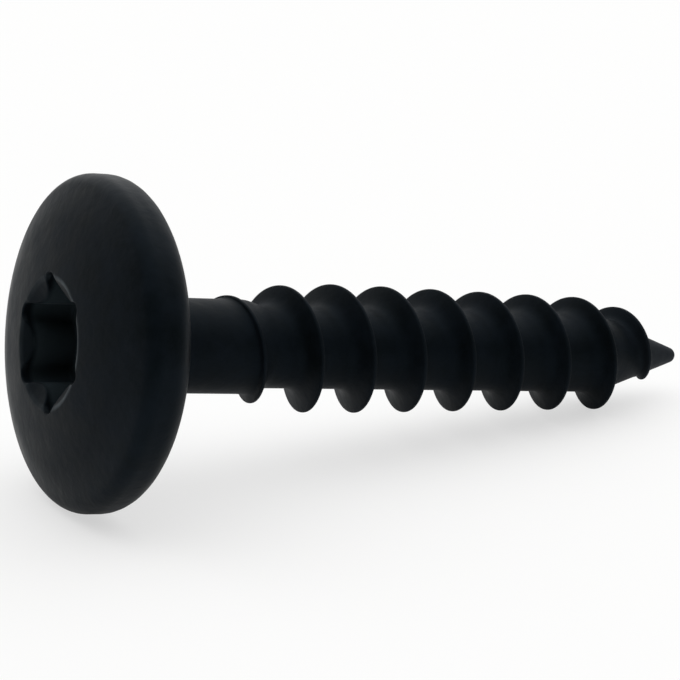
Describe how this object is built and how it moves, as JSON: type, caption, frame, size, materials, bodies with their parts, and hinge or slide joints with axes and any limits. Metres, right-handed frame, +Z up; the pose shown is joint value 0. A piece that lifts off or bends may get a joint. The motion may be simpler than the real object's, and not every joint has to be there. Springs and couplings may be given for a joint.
{
  "type": "chipboard screw",
  "caption": "Black pan washer head wood screw with a six-lobe recess, plain shank, coarse right-hand thread and gimlet point.",
  "frame": {"origin": "on the surface that the screw lies on, under the middle of its bounding box", "axes": "+X from the head towards the tip, dipping below level by the angle at which the screw lies; +Z up"},
  "size_m": [0.022, 0.0096, 0.0095],
  "materials": {
    "blackened_steel": "black coated steel, satin"
  },
  "bodies": {
    "root": {"screw": "blackened_steel"}
  },
  "joints": []
}
